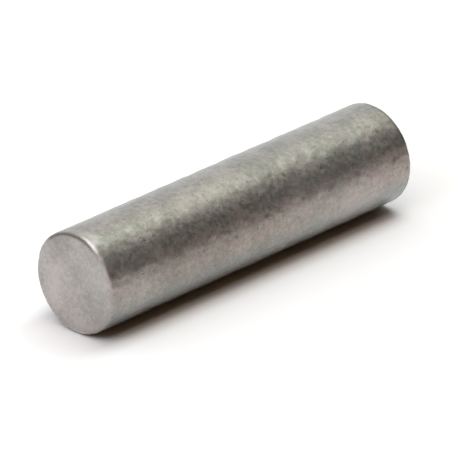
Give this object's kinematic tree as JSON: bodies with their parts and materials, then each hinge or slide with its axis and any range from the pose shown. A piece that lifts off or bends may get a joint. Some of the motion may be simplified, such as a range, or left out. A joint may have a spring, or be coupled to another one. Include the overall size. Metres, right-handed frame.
{
  "type": "locking pin",
  "caption": "Plain round steel locking pin with flat end faces and softly rounded rims.",
  "frame": {"origin": "centre of the lower end face, where the pin stands", "axes": "+Z along the pin, from the lower end face to the upper one"},
  "size_m": [0.005, 0.005, 0.02],
  "materials": {
    "tumbled_steel": "tumbled matt steel, slightly mottled"
  },
  "bodies": {
    "root": {"pin": "tumbled_steel"}
  },
  "joints": []
}
